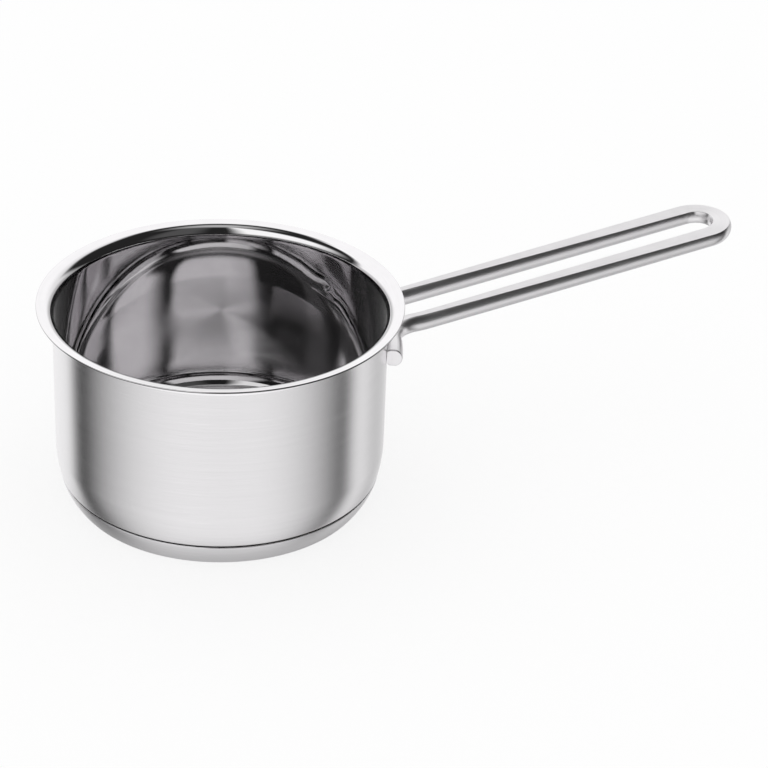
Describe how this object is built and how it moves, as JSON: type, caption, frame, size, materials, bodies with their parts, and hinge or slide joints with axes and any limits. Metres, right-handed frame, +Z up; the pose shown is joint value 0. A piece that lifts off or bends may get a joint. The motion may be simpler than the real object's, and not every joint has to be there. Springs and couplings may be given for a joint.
{
  "type": "saucepan",
  "caption": "Small round steel saucepan with a flared pouring rim, a capsule base and a long welded handle bent from one rod into a closed hanging loop.",
  "frame": {"origin": "centre of the flat underside of the base", "axes": "+Z up along the pan's axis, +X along the handle away from the pan, +Y to the right of a person who holds the handle"},
  "size_m": [0.3263, 0.155, 0.09],
  "materials": {
    "pan_steel": "brushed outside, polished rim and inside",
    "core_aluminium": "rolled",
    "cap_steel": "brushed side, spun underside",
    "handle_steel": "satin, brushed lengthwise",
    "weld_steel": "raw weld"
  },
  "bodies": {
    "root": {"pan_body": "pan_steel", "base_core": "core_aluminium", "base_cap": "cap_steel", "handle_rod": "handle_steel", "left_weld": "weld_steel", "right_weld": "weld_steel"}
  },
  "joints": []
}
